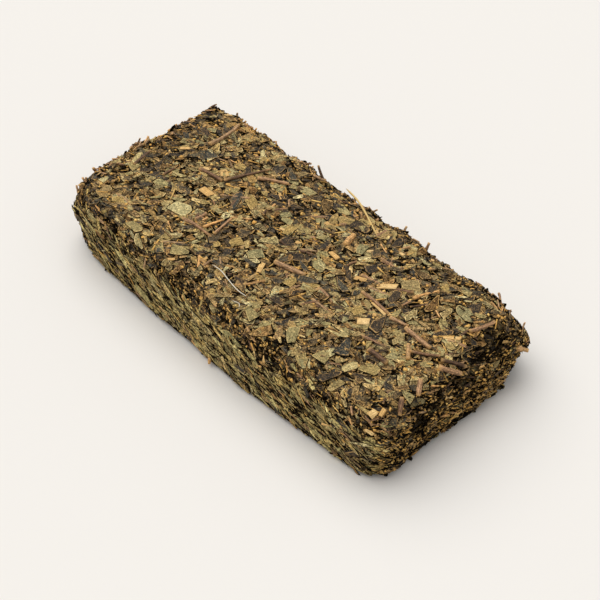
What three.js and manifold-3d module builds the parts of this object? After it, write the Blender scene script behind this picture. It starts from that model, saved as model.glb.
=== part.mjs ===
// A fu brick of dark tea: leaf scraps, stems and splinters pressed into one slab with bowed sides,
// worn edges and a flaky skin. Millimetres, +Z up. The origin is the middle of the face that the
// slab rests on, +X runs along it towards its more worn end, and +Y runs across it.
import * as THREE from "three";
import { ImprovedNoise } from "three/addons/math/ImprovedNoise.js";
import { mergeVertices } from "three/addons/utils/BufferGeometryUtils.js";
import Module from "manifold-3d";

// The pressed slab.
const LENGTH = 198.5;
const WIDTH = 94.5;
const HEIGHT = 31.6;
const HALF = new THREE.Vector2(LENGTH / 2, WIDTH / 2);

// Its edges. In plan each corner has its own radius, by side: [-X, +X] and then [-Y, +Y].
const CORNER_RADIUS = [
  [10, 9],
  [12, 14],
];
// How far the ends of each side fall back from its middle, as pressed tea springs back.
const BOW = { front: 1.9, back: 1.2, near: 1, far: 6.9 };
const BOW_POWER = 4;
// The top edge is crisp at the far end and worn round at the near end.
const TOP_EDGE = { frontFar: 8, frontNear: 13, back: 13, near: 15, far: 9 };
const FOOT_EDGE = 3;
const FOOT_SPREAD = 2.2; // how far the foot of the front side stands out at mid-length
const SIDE_BLEND = 8; // how quickly a side's values give way to an end's at a corner

// The skin: facets of about one leaf scrap each, raised and sunk at random.
const GRID = { x: 38, y: 18, z: 7 };
const GRID_JITTER = 0.32; // share of a cell that a grid point wanders
const SWELL = { height: 0.7, size: 17 };
const CRAG = { face: 0.55, side: 0.85 };
const EDGE_WEAR = 1.7; // the top edge has crumbled away by up to this much
const FOOT_HOLLOW = { height: 1.1, size: 9, rim: 0.62 }; // only outside this share of the foot

// Hollows where the worn end has lost some tea: a centre on the skin, a radius and a depth.
const HOLLOWS = [
  { at: new THREE.Vector3(97, -27, 22), radius: 7, depth: 3.4 },
  { at: new THREE.Vector3(93, 27, 27), radius: 9, depth: 2.2 },
  { at: new THREE.Vector3(99, 8, 17), radius: 8, depth: 1.5 },
  { at: new THREE.Vector3(38, -47, 27), radius: 9, depth: 1.6 },
  { at: new THREE.Vector3(-62, -47, 27), radius: 8, depth: 1.5 },
  { at: new THREE.Vector3(-92, 8, 29), radius: 8, depth: 1.6 },
];

// Stems that lie on the top. Each has its middle (x, y), heading in degrees, length and radius.
const STEMS = [
  { x: 48, y: 3, heading: -4, length: 16, radius: 0.9 },
  { x: 62, y: 2, heading: 14, length: 9, radius: 0.9 },
  { x: 73, y: 1, heading: -3, length: 15, radius: 1.1 },
  { x: 81, y: -3, heading: 35, length: 12, radius: 0.7 },
  { x: 93, y: -2, heading: 38, length: 11, radius: 1.3 },
  { x: 91, y: 3, heading: 39, length: 11, radius: 0.9 },
  { x: 91, y: -17, heading: -49, length: 8, radius: 1.2 },
  { x: 92, y: -29, heading: -44, length: 8, radius: 1.2 },
  { x: 87, y: 24, heading: 74, length: 12, radius: 1 },
  { x: 69, y: -17, heading: 0, length: 11, radius: 1.3 },
  { x: 10, y: -9, heading: 15, length: 16, radius: 1.2 },
  { x: -34, y: 23, heading: 30, length: 15, radius: 1 },
  { x: -56, y: 6, heading: 8, length: 14, radius: 1 },
  { x: -45, y: 17, heading: 66, length: 20, radius: 0.7 },
  { x: -71, y: 28, heading: 93, length: 18, radius: 1.1 },
  { x: -36, y: -20, heading: 5, length: 18, radius: 1 },
  { x: -32, y: -14, heading: 75, length: 10, radius: 0.7 },
  { x: 15, y: 21, heading: 105, length: 7, radius: 1.5 },
];

// The broadest leaf scraps on the top: middle, heading in degrees, length and width.
const LEAVES = [
  { x: -49, y: -18, heading: 32, length: 10.6, width: 8.7 },
  { x: 37, y: -33, heading: 118, length: 11.3, width: 5.9 },
  { x: 54, y: -32, heading: 84, length: 8, width: 6.9 },
  { x: 71, y: -24, heading: 40, length: 9, width: 6.2 },
  { x: -66, y: -4, heading: 46, length: 6.6, width: 4.6 },
  { x: 51, y: 21, heading: 32, length: 10, width: 6.8 },
  { x: 22, y: 21, heading: 96, length: 8, width: 5.2 },
  { x: -6, y: -13, heading: 46, length: 9, width: 7 },
  { x: 16, y: 3, heading: -4, length: 8.3, width: 4.2 },
  { x: 16, y: -14, heading: 80, length: 8, width: 4.4 },
  { x: 76, y: 25, heading: 1, length: 8, width: 5.7 },
  { x: 46, y: -5, heading: 60, length: 7, width: 5.5 },
];

// Loose ends that stand out past the skin: foot (x, y, z), the way they point, length and radius.
const SPURS = [
  { foot: [97, 33, 20], way: [1, 0.35, 0.1], length: 7, radius: 1.1 },
  { foot: [-94, -37, 26], way: [-0.55, -0.2, 0.8], length: 6, radius: 0.7 },
  { foot: [25, -45, 3], way: [0.25, -1, -0.05], length: 5.5, radius: 1.2 },
  { foot: [0, -45, 3], way: [0.9, -0.6, 0], length: 9, radius: 1 },
  { foot: [-20, 42, 27], way: [0.75, 0.1, 0.65], length: 8, radius: 0.6 },
  { foot: [38, 43, 26], way: [0.1, 0.5, 0.85], length: 6, radius: 0.9 },
];
const STEM_SIDES = 5;
const STEM_STEPS = 2;
const SINK = { scrap: -0.1, stem: 0.2 }; // how deep the middle of a piece is pressed into the skin

// Smaller scraps, scattered over each face: how many along and up, and their size.
const SCRAP = { length: [4.5, 8.5], slimness: [0.38, 0.75], thickness: 0.8, wave: 0.35, sides: 6 };
const FIELDS = [
  { face: "top", along: 12, across: 5, heading: [0, 180] },
  { face: "front", along: 10, across: 2, heading: [-34, -4] },
  { face: "back", along: 8, across: 2, heading: [-34, -4] },
  { face: "near", along: 4, across: 2, heading: [-15, 15] },
  { face: "far", along: 3, across: 2, heading: [-15, 15] },
];

const TEA = { color: 0x6e5e3c, roughness: 0.88, metalness: 0 };

const wasm = await Module();
wasm.setup();
const noise = new ImprovedNoise();
const { degToRad, lerp, seededRandom } = THREE.MathUtils;
seededRandom(19);

const between = (low, high) => lerp(low, high, seededRandom());
const centred = (reach) => between(-reach, reach);

// A smooth noise from -1 to 1 whose lumps are about `size` across.
function lumps(p, size, layer) {
  return noise.noise(p.x / size + layer, p.y / size, p.z / size - layer);
}

// How much a direction from the middle points at an end of the slab rather than at a long side.
function endShare(x, y) {
  const end = Math.abs(x) ** SIDE_BLEND;
  return end / (end + Math.abs(y) ** SIDE_BLEND);
}

// The slab's widest outline in plan, for a point on the border of the square from -1 to 1.
function outlinePoint(x, y) {
  const radius = CORNER_RADIUS[x > 0 ? 1 : 0][y > 0 ? 1 : 0];
  const inner = HALF.clone().subScalar(radius);
  const p = new THREE.Vector2(x, y).multiply(HALF);
  const centre = p.clone().clamp(inner.clone().negate(), inner);
  p.sub(centre).setLength(radius).add(centre);
  const sideBow = (y < 0 ? BOW.front : BOW.back) * Math.abs(p.x / HALF.x) ** BOW_POWER;
  const endBow = (x > 0 ? BOW.near : BOW.far) * Math.abs(p.y / HALF.y) ** BOW_POWER;
  return new THREE.Vector2(p.x * (1 - endBow / HALF.x), p.y * (1 - sideBow / HALF.y));
}

function topEdge(x, y) {
  const side = y < 0 ? lerp(TOP_EDGE.frontFar, TOP_EDGE.frontNear, (x + 1) / 2) : TOP_EDGE.back;
  return lerp(side, x > 0 ? TOP_EDGE.near : TOP_EDGE.far, endShare(x, y));
}

// Carries a point on the cube from -1 to 1 to the smooth slab, rounding the top and foot edges.
function slabPoint(cube) {
  const ring = Math.max(Math.abs(cube.x), Math.abs(cube.y), 1e-6);
  const x = cube.x / ring;
  const y = cube.y / ring;
  const reach = lerp(HALF.y, HALF.x, endShare(x, y));
  const isTop = cube.z > 0;
  const radius = isTop ? topEdge(x, y) : FOOT_EDGE;
  const height = ((cube.z + 1) / 2) * HEIGHT;
  let inset = (1 - ring) * reach;
  let depth = isTop ? HEIGHT - height : height;
  const bend = new THREE.Vector2(radius - inset, radius - depth);
  if (bend.x > 0 && bend.y > 0) {
    bend.setLength(radius);
    inset = radius - bend.x;
    depth = radius - bend.y;
  }
  const outline = outlinePoint(x, y).multiplyScalar(1 - inset / reach);
  const point = new THREE.Vector3(outline.x, outline.y, isTop ? HEIGHT - depth : depth);
  point.y -= footSpread(point);
  return point;
}

// The front side leans out towards its foot, most of all at mid-length.
function footSpread({ x, y, z }) {
  const front = Math.max(0, -y / HALF.y);
  return FOOT_SPREAD * front * (1 - z / HEIGHT) * Math.cos((Math.PI / 2) * (x / HALF.x)) ** 2;
}

// Moves a grid point of the cube about within its face, but never over an edge.
function jitter(cube, axis, cells) {
  const step = 2 / cells;
  if (Math.abs(cube[axis]) < 1 - step / 2) cube[axis] += centred(GRID_JITTER * step);
}

// How far the skin stands out from the smooth slab at a point.
function relief(p, normal) {
  if (p.z < 0.01) {
    const fromRim = Math.max(Math.abs(p.x) / HALF.x, Math.abs(p.y) / HALF.y) - FOOT_HOLLOW.rim;
    return -Math.max(0, lumps(p, FOOT_HOLLOW.size, 5)) * FOOT_HOLLOW.height * (fromRim > 0 ? 1 : 0);
  }
  const crag = lerp(CRAG.side, CRAG.face, Math.abs(normal.z));
  let out = SWELL.height * lumps(p, SWELL.size, 1) + centred(crag);
  out -= EDGE_WEAR * 4 * Math.max(0, normal.z - normal.z ** 2) * seededRandom();
  for (const { at, radius, depth } of HOLLOWS) {
    out -= depth * Math.exp(-p.distanceToSquared(at) / (radius * radius) * 2);
  }
  return out;
}

// The whole slab as one closed skin.
function slab() {
  const box = new THREE.BoxGeometry(2, 2, 2, GRID.x, GRID.y, GRID.z);
  box.deleteAttribute("normal");
  box.deleteAttribute("uv");
  const skin = mergeVertices(box);
  const position = skin.getAttribute("position");
  const p = new THREE.Vector3();
  for (let i = 0; i < position.count; i++) {
    p.fromBufferAttribute(position, i);
    for (const axis of ["x", "y", "z"]) jitter(p, axis, GRID[axis]);
    position.setXYZ(i, ...slabPoint(p));
  }
  skin.computeVertexNormals();
  const normal = new THREE.Vector3();
  for (let i = 0; i < position.count; i++) {
    p.fromBufferAttribute(position, i);
    normal.fromBufferAttribute(skin.getAttribute("normal"), i);
    p.addScaledVector(normal, relief(p, normal));
    position.setXYZ(i, p.x, p.y, Math.max(p.z, 0));
  }
  return skin;
}

// A leaf scrap: a thin wavy sheet of uneven outline, its two faces split into triangles alike.
function leafScrap(length, width) {
  const outline = new THREE.Shape();
  for (let i = 0; i < SCRAP.sides; i++) {
    const turn = ((i + centred(0.28)) / SCRAP.sides) * 2 * Math.PI;
    const reach = between(0.8, 1.08) / 2;
    const corner = [Math.cos(turn) * reach * length, Math.sin(turn) * reach * width];
    if (i === 0) outline.moveTo(...corner);
    else outline.lineTo(...corner);
  }
  outline.closePath();
  const scrap = new THREE.ExtrudeGeometry(outline, {
    depth: SCRAP.thickness,
    bevelEnabled: false,
  });
  scrap.translate(0, 0, -SCRAP.thickness / 2);
  const position = scrap.getAttribute("position");
  const phase = between(0, 2 * Math.PI);
  for (let i = 0; i < position.count; i++) {
    const wave = SCRAP.wave * Math.sin(position.getX(i) * 0.9 + position.getY(i) * 0.7 + phase);
    position.setZ(i, position.getZ(i) + wave);
  }
  return scrap;
}

// A stem: a tapering rod along X with a slight bend.
function stem(length, radius) {
  const rod = new THREE.CylinderGeometry(radius * 0.8, radius, length, STEM_SIDES, STEM_STEPS);
  rod.rotateZ(-Math.PI / 2);
  const position = rod.getAttribute("position");
  const bend = centred(0.05) * length;
  for (let i = 0; i < position.count; i++) {
    const along = (2 * position.getX(i)) / length;
    position.setY(i, position.getY(i) + bend * (1 - along * along));
  }
  return rod;
}

// A closed geometry as a solid for joining and cutting.
function solidOf(geometry) {
  const bare = geometry.clone();
  bare.deleteAttribute("normal");
  bare.deleteAttribute("uv");
  const merged = mergeVertices(bare, 1e-4);
  return new wasm.Manifold(
    new wasm.Mesh({
      numProp: 3,
      vertProperties: new Float32Array(merged.getAttribute("position").array),
      triVerts: new Uint32Array(merged.index.array),
    }),
  );
}

function geometryOf(solid) {
  const { vertProperties, triVerts } = solid.getMesh();
  const geometry = new THREE.BufferGeometry();
  geometry.setAttribute("position", new THREE.BufferAttribute(vertProperties, 3));
  geometry.setIndex(new THREE.BufferAttribute(triVerts, 1));
  geometry.computeVertexNormals();
  return geometry;
}

// Which way each face looks, and which way a heading of 0 runs on it.
const FACES = {
  top: { out: new THREE.Vector3(0, 0, 1), along: new THREE.Vector3(1, 0, 0) },
  front: { out: new THREE.Vector3(0, -1, 0), along: new THREE.Vector3(1, 0, 0) },
  back: { out: new THREE.Vector3(0, 1, 0), along: new THREE.Vector3(-1, 0, 0) },
  near: { out: new THREE.Vector3(1, 0, 0), along: new THREE.Vector3(0, 1, 0) },
  far: { out: new THREE.Vector3(-1, 0, 0), along: new THREE.Vector3(0, -1, 0) },
};

const bareSkin = slab();
const bareSlab = new THREE.Mesh(bareSkin, new THREE.MeshBasicMaterial());
const ray = new THREE.Raycaster();

// The skin's point and normal that face a point outside it.
function skinFacing(face, point) {
  const { out } = FACES[face];
  ray.set(point.clone().addScaledVector(out, LENGTH), out.clone().negate());
  const [hit] = ray.intersectObject(bareSlab);
  return { point: hit.point, normal: hit.face.normal };
}

// Lays a piece that was made flat in XY on the skin, turned to a heading in degrees.
function lay(piece, face, point, heading, sink) {
  const seat = skinFacing(face, point);
  const { out, along } = FACES[face];
  const normal = seat.normal.clone().lerp(out, 0.5).normalize();
  const forward = along.clone().applyAxisAngle(out, degToRad(heading));
  const left = normal.clone().cross(forward).normalize();
  forward.crossVectors(left, normal);
  const frame = new THREE.Matrix4().makeBasis(forward, left, normal);
  frame.setPosition(seat.point.addScaledVector(normal, -sink));
  return solidOf(piece.applyMatrix4(frame));
}

// The smaller scraps of one face, one to each cell of a grid and off its middle.
function scrapField({ face, along: columns, across: rows, heading }) {
  const { out, along } = FACES[face];
  const across = out.clone().cross(along);
  const isEnd = face === "near" || face === "far";
  const spanAlong = (isEnd ? WIDTH : LENGTH) - 18;
  const spanAcross = face === "top" ? WIDTH - 14 : HEIGHT - 11;
  const middle = new THREE.Vector3(0, 0, face === "top" ? 0 : HEIGHT / 2 - 1);
  const scraps = [];
  for (let column = 0; column < columns; column++) {
    for (let row = 0; row < rows; row++) {
      const u = ((column + 0.5 + centred(0.35)) / columns - 0.5) * spanAlong;
      const v = ((row + 0.5 + centred(0.35)) / rows - 0.5) * spanAcross;
      const point = middle.clone().addScaledVector(along, u).addScaledVector(across, v);
      const length = between(...SCRAP.length);
      const piece = leafScrap(length, length * between(...SCRAP.slimness));
      scraps.push(lay(piece, face, point, between(...heading), SINK.scrap));
    }
  }
  return scraps;
}

// A stem end that stands out of the skin.
function spur({ foot, way, length, radius }) {
  const piece = stem(length, radius).translate(length / 2 - radius * 2, 0, 0);
  const turn = new THREE.Quaternion().setFromUnitVectors(
    new THREE.Vector3(1, 0, 0),
    new THREE.Vector3(...way).normalize(),
  );
  return solidOf(piece.applyQuaternion(turn).translate(...foot));
}

const pieces = [
  solidOf(bareSkin),
  ...FIELDS.flatMap(scrapField),
  ...LEAVES.map(({ x, y, heading, length, width }) =>
    lay(leafScrap(length, width), "top", new THREE.Vector3(x, y, 0), heading, SINK.scrap),
  ),
  ...STEMS.map(({ x, y, heading, length, radius }) =>
    lay(stem(length, radius), "top", new THREE.Vector3(x, y, 0), heading, SINK.stem),
  ),
  ...SPURS.map(spur),
];

// Everything is pressed into one piece, with nothing below the face it rests on.
const below = solidOf(new THREE.BoxGeometry(2 * LENGTH, 2 * WIDTH, HEIGHT).translate(0, 0, -HEIGHT / 2));
const pressed = wasm.Manifold.union(pieces).subtract(below);
const [whole] = pressed.decompose().sort((a, b) => b.volume() - a.volume());

const brick = new THREE.Mesh(geometryOf(whole), new THREE.MeshStandardMaterial(TEA));
brick.name = "tea_brick";
brick.geometry.computeBoundingBox();
const middle = brick.geometry.boundingBox.getCenter(new THREE.Vector3());
brick.position.set(-middle.x, -middle.y, 0);

const part = new THREE.Group();
part.add(brick);
export default part;
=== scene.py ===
# %% [markdown]
# A brick of fu tea is a slab of dark tea, pressed hard while damp and then dried. What shows is a
# skin of leaf scraps that lie flat and overlap, with stems, wood chips, splinters and crumbs among
# them. It could be one mesh with a painted surface, but the scraps have real edges that catch the
# light and gaps that go dark, so this lesson lays tens of thousands of small solid scraps on a slab.

import math

import bmesh
import bpy
import numpy as np
from mathutils import Matrix, Vector, kdtree, noise


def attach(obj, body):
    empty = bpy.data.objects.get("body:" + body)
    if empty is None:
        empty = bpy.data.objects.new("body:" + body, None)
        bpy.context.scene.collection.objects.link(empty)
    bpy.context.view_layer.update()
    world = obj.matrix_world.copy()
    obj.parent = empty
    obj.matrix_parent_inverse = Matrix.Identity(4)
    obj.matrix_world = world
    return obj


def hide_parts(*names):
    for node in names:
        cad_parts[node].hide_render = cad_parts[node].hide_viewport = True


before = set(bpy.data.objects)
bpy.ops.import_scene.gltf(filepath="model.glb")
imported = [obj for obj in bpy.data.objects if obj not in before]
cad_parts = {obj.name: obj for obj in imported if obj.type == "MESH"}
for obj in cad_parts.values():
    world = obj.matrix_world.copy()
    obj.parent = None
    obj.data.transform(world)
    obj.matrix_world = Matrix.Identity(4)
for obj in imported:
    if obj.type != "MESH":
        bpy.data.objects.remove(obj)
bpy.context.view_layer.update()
MM = 0.001
draw = np.random.default_rng(11)

# %% [markdown]
# The camera stands where the photographer's did, high over the worn end and far off, so the slab's
# long edges stay almost parallel. The view uses plain sRGB, so that a colour measured on the photo
# can be used as it is.

# %% Place the camera
FRAME_SIZE = 600  # pixels, across and down
FOCAL_PIXELS = 1540
SENSOR = 36  # millimetres
CAMERA_AZIMUTH = math.radians(46.4)
CAMERA_ELEVATION = math.radians(46.4)
CAMERA_DISTANCE = 0.667  # metres
TARGET = Vector((0.0034, 0.0032, 0))


def direction(azimuth, elevation):
    """The unit vector that points back from the target at an azimuth and elevation."""
    flat = math.cos(elevation)
    return Vector((math.sin(azimuth) * flat, -math.cos(azimuth) * flat, math.sin(elevation)))


def place_camera():
    lens = bpy.data.cameras.new("camera")
    lens.lens = FOCAL_PIXELS / FRAME_SIZE * SENSOR
    lens.sensor_width = SENSOR
    camera = bpy.data.objects.new("camera", lens)
    back = direction(CAMERA_AZIMUTH, CAMERA_ELEVATION)
    camera.location = TARGET + back * CAMERA_DISTANCE
    camera.rotation_euler = back.to_track_quat("Z", "Y").to_euler()
    bpy.context.scene.collection.objects.link(camera)
    bpy.context.scene.camera = camera
    bpy.context.scene.view_settings.view_transform = "Standard"
    return camera


camera = place_camera()
print("lens:", round(camera.data.lens, 1), "mm")

# %% [markdown]
# One big soft lamp stands to the left of the slab and a little behind it, so the top and the long
# side are lit and the worn end is in shade. A bright room fills the shadows.

# %% Set up the studio
FLOOR_COLOUR = (0.845, 0.83, 0.805)
FLOOR_GRAIN = (0.80, 0.77, 0.73)
ROOM_COLOUR = (1.0, 0.985, 0.965)
ROOM_STRENGTH = 0.5
KEY_AZIMUTH = math.radians(-100)
KEY_ELEVATION = math.radians(60)
KEY_STRENGTH = 2.15
KEY_SOFTNESS = math.radians(70)
KEY_COLOUR = (1.0, 0.975, 0.94)


def set_up_studio():
    world = bpy.data.worlds.new("room")
    world.use_nodes = True
    background = world.node_tree.nodes["Background"]
    background.inputs["Color"].default_value = (*ROOM_COLOUR, 1)
    background.inputs["Strength"].default_value = ROOM_STRENGTH
    bpy.context.scene.world = world
    lamp = bpy.data.lights.new("key", "SUN")
    lamp.energy = KEY_STRENGTH
    lamp.angle = KEY_SOFTNESS
    lamp.color = KEY_COLOUR
    key = bpy.data.objects.new("key", lamp)
    back = direction(KEY_AZIMUTH, KEY_ELEVATION)
    key.rotation_euler = back.to_track_quat("Z", "Y").to_euler()
    bpy.context.scene.collection.objects.link(key)


def lay_floor():
    shape = bmesh.new()
    bmesh.ops.create_grid(shape, x_segments=1, y_segments=1, size=2)
    mesh = bpy.data.meshes.new("floor")
    shape.to_mesh(mesh)
    shape.free()
    floor = bpy.data.objects.new("floor", mesh)
    bpy.context.scene.collection.objects.link(floor)
    return floor


set_up_studio()
floor = lay_floor()
print("floor:", tuple(floor.dimensions))

# %% [markdown]
# Shader maths reads best as plain arithmetic. Signal wraps a node's output, so that a * b adds a
# Math node by itself, and Finish holds one material and adds any other node.

# %% A small language for materials
class Signal:
    """The output of a node in a finish, with arithmetic."""

    def __init__(self, finish, socket):
        self.finish = finish
        self.socket = socket

    def math(self, operation, first, second=0.0):
        return self.finish.math(operation, first, second)

    def __add__(self, other):
        return self.math("ADD", self, other)

    def __sub__(self, other):
        return self.math("SUBTRACT", self, other)

    def __rsub__(self, other):
        return self.math("SUBTRACT", other, self)

    def __mul__(self, other):
        return self.math("MULTIPLY", self, other)

    def __abs__(self):
        return self.math("ABSOLUTE", self)

    __radd__ = __add__
    __rmul__ = __mul__


DUST_AND_SHADE = (0.0105, 0.0068, 0.0026)  # black brown of tea dust and of painted shade, linear


class Finish:
    """A material of one Principled shader and the nodes that feed it."""

    def __init__(self, name):
        self.material = bpy.data.materials.new(name)
        self.material.use_nodes = True
        self.tree = self.material.node_tree
        self.shader = self.tree.nodes["Principled BSDF"]

    def feed(self, socket, value):
        if isinstance(value, Signal):
            self.tree.links.new(value.socket, socket)
        elif isinstance(value, tuple) and len(value) == 3 and socket.type == "RGBA":
            socket.default_value = (*value, 1)
        else:
            socket.default_value = value

    def add(self, kind, settings, inputs, output=0):
        node = self.tree.nodes.new(kind)
        stops = settings.pop("stops", None)
        for key, value in settings.items():
            setattr(node, key, value)
        if stops:
            ramp = node.color_ramp
            while len(ramp.elements) < len(stops):
                ramp.elements.new(0.5)
            for element, (place, colour) in zip(ramp.elements, stops):
                element.position = place
                element.color = (*colour, 1) if isinstance(colour, tuple) else (colour,) * 3 + (1,)
        for key, value in inputs.items():
            self.feed(node.inputs[key], value)
        return Signal(self, node.outputs[output])

    def math(self, operation, first, second=0.0):
        return self.add("ShaderNodeMath", {"operation": operation}, {0: first, 1: second})

    def grey(self, value):
        return self.add("ShaderNodeCombineColor", {}, {0: value, 1: value, 2: value})

    def place(self):
        """Where a point is on the object."""
        return self.add("ShaderNodeTexCoord", {}, {}, "Object")

    def attribute(self, name):
        return self.add("ShaderNodeAttribute", {"attribute_name": name}, {}, "Fac")

    def ramp(self, value, stops):
        return self.add("ShaderNodeValToRGB", {"stops": stops}, {"Fac": value}, "Color")

    def mix(self, factor, first, second, blend="MIX"):
        settings = {"data_type": "RGBA", "blend_type": blend}
        return self.add("ShaderNodeMix", settings, {0: factor, 6: first, 7: second}, 2)

    def paint_shade(self, colour):
        """Paints shade over the colour where a piece lies deep, in a hollow or in a worn place."""
        shading = self.ramp(self.attribute("painted_shade"), ((0.05, 0.0), (0.75, 1.0)))
        return self.mix(shading * 0.88, colour, DUST_AND_SHADE)

    def noise(self, size, detail=2.0, vector=None, roughness=0.5):
        """A noise from 0 to 1 whose lumps are about size metres across."""
        vector = vector or self.place()
        inputs = {"Vector": vector, "Scale": 1 / size, "Detail": detail, "Roughness": roughness}
        return self.add("ShaderNodeTexNoise", {}, inputs)

    def cells(self, size):
        """How far a point is from the middle of its cell. Cells are about size metres across."""
        inputs = {"Vector": self.place(), "Scale": 1 / size}
        return self.add("ShaderNodeTexVoronoi", {}, inputs, "Distance")

    def surface(self, colour, roughness, height=None, relief=0.0001, gloss=0.5):
        self.shader.inputs["Specular IOR Level"].default_value = gloss
        self.feed(self.shader.inputs["Base Color"], colour)
        self.feed(self.shader.inputs["Roughness"], roughness)
        if height:
            inputs = {"Height": height, "Distance": relief}
            normal = self.add("ShaderNodeBump", {}, inputs)
            self.feed(self.shader.inputs["Normal"], normal)
        return self.material


def srgb(red, green, blue):
    """A colour as a paint program gives it, from 0 to 255, as the linear colour of a shader."""
    channels = (channel / 255 for channel in (red, green, blue))
    return tuple(c / 12.92 if c <= 0.04045 else ((c + 0.055) / 1.055) ** 2.4 for c in channels)


def floor_finish():
    finish = Finish("floor_paper")
    grain = finish.noise(0.004, 3.0)
    colour = finish.mix(grain * 0.04, FLOOR_COLOUR, FLOOR_GRAIN)
    return finish.surface(colour, 0.9)


floor.data.materials.append(floor_finish())
print("materials:", len(bpy.data.materials))

# %% [markdown]
# Everything lies on one form: a slab with bowed sides, corners and edges of their own radius, and a
# top edge that is worn round towards one end. The form takes a point on a cube from -1 to 1 to the
# slab, so a cube that is cut finely enough becomes the slab. The sizes are those of the solid.

# %% The form of the slab
HALF = np.array([198.5, 94.5]) / 2
HEIGHT = 31.6
SHIFT = np.array([-0.72, 0.75, 0.0])  # the solid's box is centred with its loose ends
CORNER_RADIUS = np.array([[10.0, 9.0], [12.0, 14.0]])
BOW_FRONT, BOW_BACK, BOW_NEAR, BOW_FAR = 1.9, 1.2, 1.0, 6.9
EDGE_FRONT_FAR, EDGE_FRONT_NEAR, EDGE_BACK, EDGE_NEAR, EDGE_FAR = 8.0, 13.0, 13.0, 15.0, 9.0
EDGE_FOOT = 3.0
FOOT_SPREAD = 2.2
SIDE_BLEND = 8  # how sharply the long sides turn into the ends


def outline_points(x, y):
    """The slab's widest outline in plan, for points on the border of the square."""
    radius = CORNER_RADIUS[(x > 0).astype(int), (y > 0).astype(int)][:, None]
    inner = HALF - radius
    corner = np.stack([x, y], 1) * HALF
    centre = np.clip(corner, -inner, inner)
    out = corner - centre
    plan = centre + out / np.linalg.norm(out, axis=1, keepdims=True) * radius
    side_bow = np.where(y < 0, BOW_FRONT, BOW_BACK) * np.abs(plan[:, 0] / HALF[0]) ** 4
    end_bow = np.where(x > 0, BOW_NEAR, BOW_FAR) * np.abs(plan[:, 1] / HALF[1]) ** 4
    return plan * (1 - np.stack([end_bow, side_bow], 1) / HALF)


def slab_points(cube):
    """Points on the cube from -1 to 1 as points on the slab, in millimetres."""
    ring = np.maximum(np.abs(cube[:, :2]).max(1), 1e-6)
    x, y = cube[:, 0] / ring, cube[:, 1] / ring
    end = np.abs(x) ** SIDE_BLEND / (np.abs(x) ** SIDE_BLEND + np.abs(y) ** SIDE_BLEND)
    reach = HALF[1] + (HALF[0] - HALF[1]) * end
    front_edge = EDGE_FRONT_FAR + (EDGE_FRONT_NEAR - EDGE_FRONT_FAR) * (x + 1) / 2
    side_edge = np.where(y < 0, front_edge, EDGE_BACK)
    top_edge = side_edge + (np.where(x > 0, EDGE_NEAR, EDGE_FAR) - side_edge) * end
    is_top = cube[:, 2] > 0
    radius = np.where(is_top, top_edge, EDGE_FOOT)
    height = (cube[:, 2] + 1) / 2 * HEIGHT
    inset = (1 - ring) * reach
    depth = np.where(is_top, HEIGHT - height, height)
    bend = np.stack([radius - inset, radius - depth], 1)
    curved = (bend > 0).all(1)
    bend *= (radius / np.maximum(np.linalg.norm(bend, axis=1), 1e-9))[:, None]
    inset = np.where(curved, radius - bend[:, 0], inset)
    depth = np.where(curved, radius - bend[:, 1], depth)
    plan = outline_points(x, y) * (1 - inset / reach)[:, None]
    z = np.where(is_top, HEIGHT - depth, depth)
    front = np.maximum(0, -plan[:, 1] / HALF[1])
    bulge = np.cos(np.pi / 2 * np.clip(plan[:, 0] / HALF[0], -1, 1)) ** 2
    spread = FOOT_SPREAD * front * (1 - z / HEIGHT) * bulge
    return np.stack([plan[:, 0], plan[:, 1] - spread, z], 1) + SHIFT


# %% [markdown]
# A finely cut cube gives the slab as a mesh of quads. It is used twice: as it is, to say where the
# surface runs and which way it faces, and sunk a little, as the dark core under the scraps.

# %% Cut a cube and press it to the slab
GRID_STEP = 1.5  # millimetres between the cuts


def cut_cube():
    shape = bmesh.new()
    bmesh.ops.create_cube(shape, size=2)
    for axis, length in enumerate((2 * HALF[0], 2 * HALF[1], HEIGHT)):
        along = [e for e in shape.edges if abs((e.verts[0].co - e.verts[1].co)[axis]) > 1]
        cuts = round(length / GRID_STEP) - 1
        bmesh.ops.subdivide_edges(shape, edges=along, cuts=cuts, use_grid_fill=True)
    return shape


def mesh_arrays(shape):
    """A bmesh of quads as arrays of points, faces and point normals."""
    shape.verts.index_update()
    shape.normal_update()
    points = np.array([v.co for v in shape.verts])
    faces = np.array([[v.index for v in f.verts] for f in shape.faces])
    normals = np.array([v.normal for v in shape.verts])
    return points, faces, normals


slab = cut_cube()
pressed = slab_points(np.array([v.co for v in slab.verts]))
for vert, point in zip(slab.verts, pressed):
    vert.co = point
skin, skin_faces, skin_normals = mesh_arrays(slab)
corners = skin[skin_faces]
crossed = np.cross(corners[:, 2] - corners[:, 0], corners[:, 3] - corners[:, 1])
face_area = np.linalg.norm(crossed, axis=1) / 2
face_normal = skin_normals[skin_faces].mean(1)
face_middle = corners.mean(1)
print("slab faces:", len(skin_faces), "area:", round(face_area.sum()), "mm2")
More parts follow.
